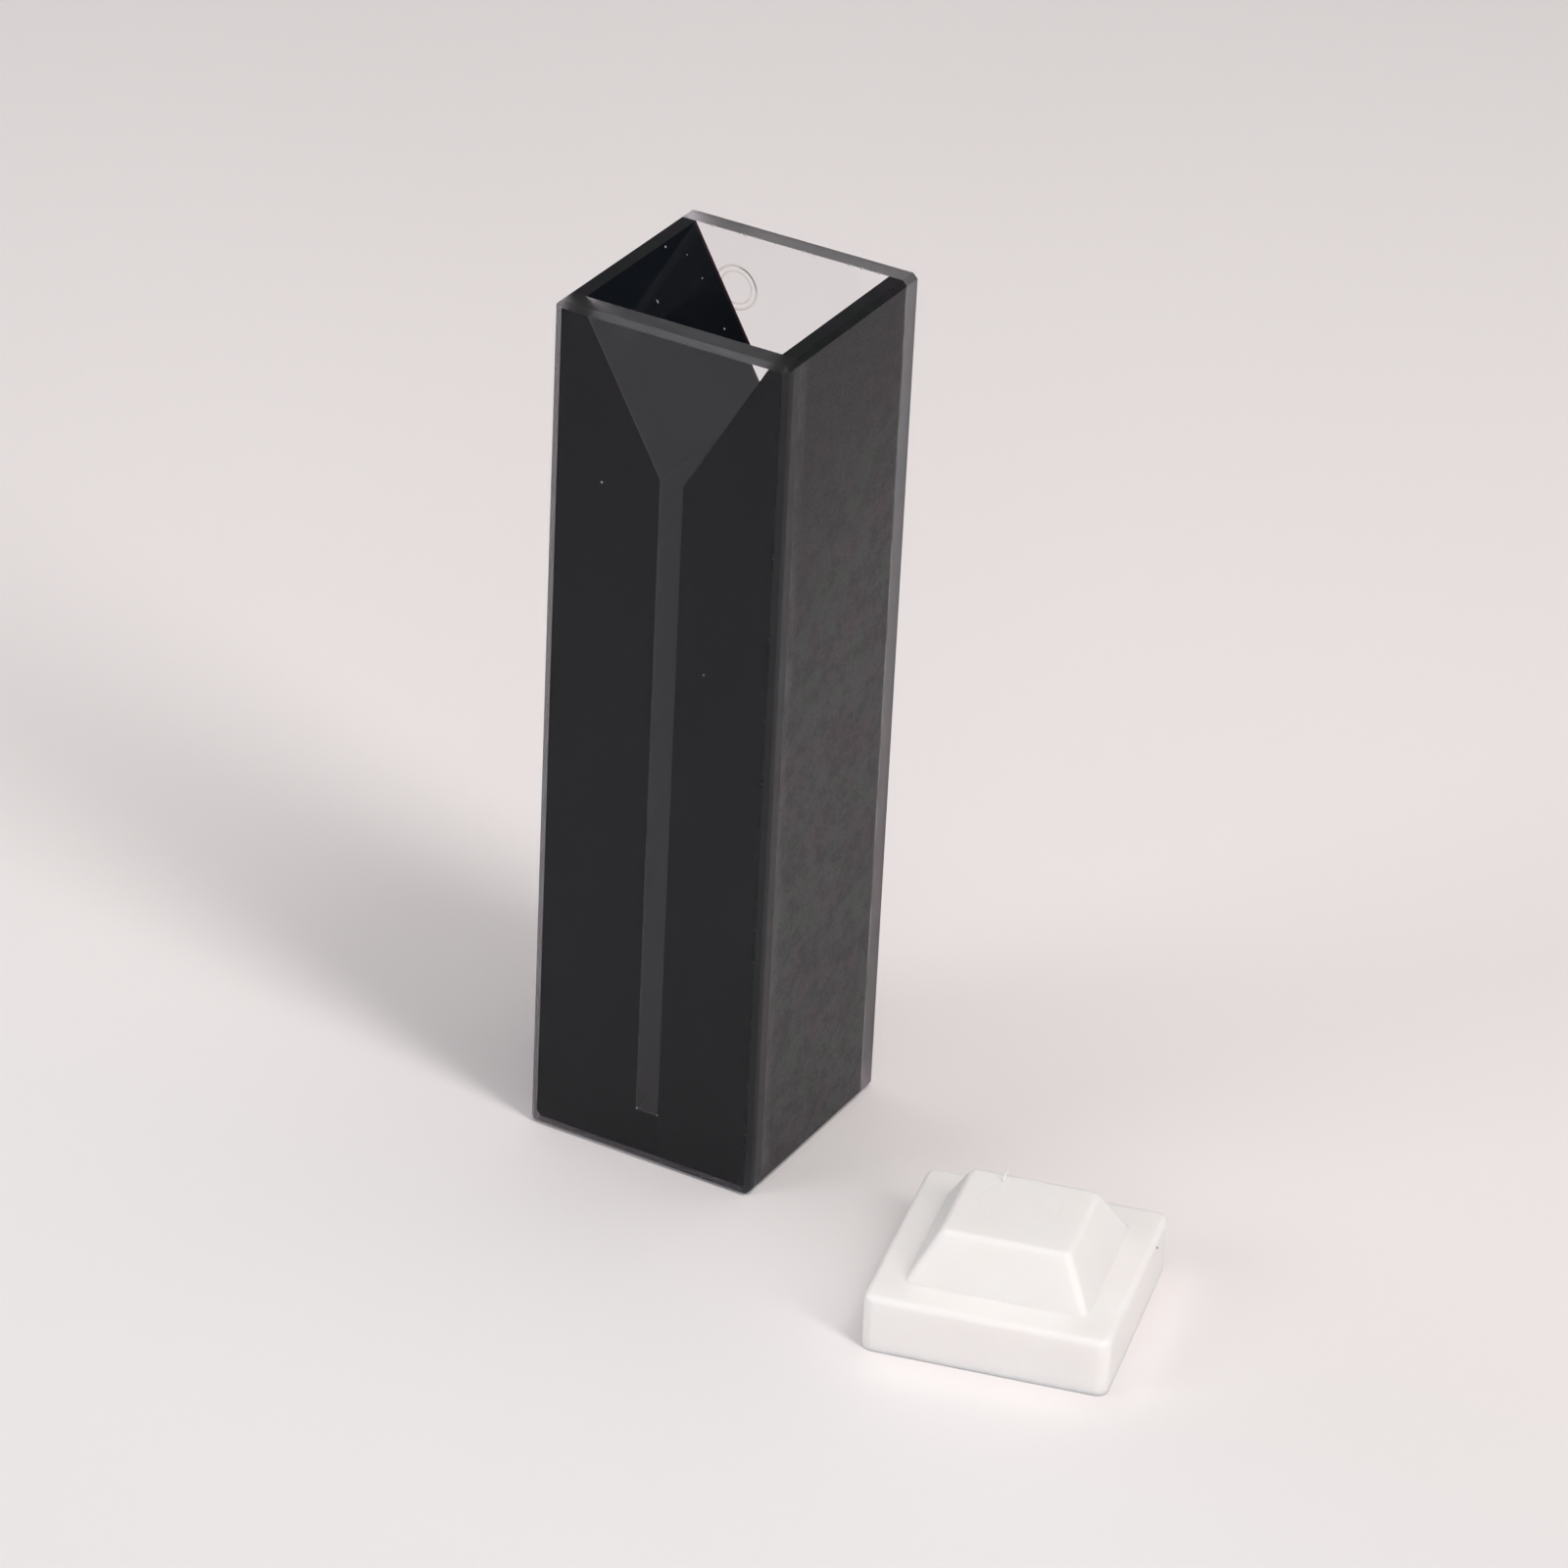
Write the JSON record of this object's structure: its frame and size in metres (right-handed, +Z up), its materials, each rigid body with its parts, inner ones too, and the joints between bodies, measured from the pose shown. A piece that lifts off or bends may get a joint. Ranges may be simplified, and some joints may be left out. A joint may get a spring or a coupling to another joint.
{
  "type": "cuvette",
  "caption": "Square laboratory cuvette with black side blocks, a funnel that runs into a narrow slot, two clear windows and a loose tapered lid lying beside it.",
  "frame": {"origin": "centre of the cell's base", "axes": "+Z up the height of the cell, Y along the light path from the front window to the rear one, X across the two black sides, towards the lid"},
  "size_m": [0.035, 0.0207, 0.045],
  "materials": {
    "clear_quartz": "polished faces, fine-ground edges",
    "black_quartz": "fine-ground outside, polished inside",
    "ptfe": "turned, waxy matt"
  },
  "bodies": {
    "root": {"front_window": "clear_quartz", "rear_window": "clear_quartz", "left_block": "black_quartz", "right_block": "black_quartz", "floor_block": "black_quartz", "lid": "ptfe"}
  },
  "joints": []
}
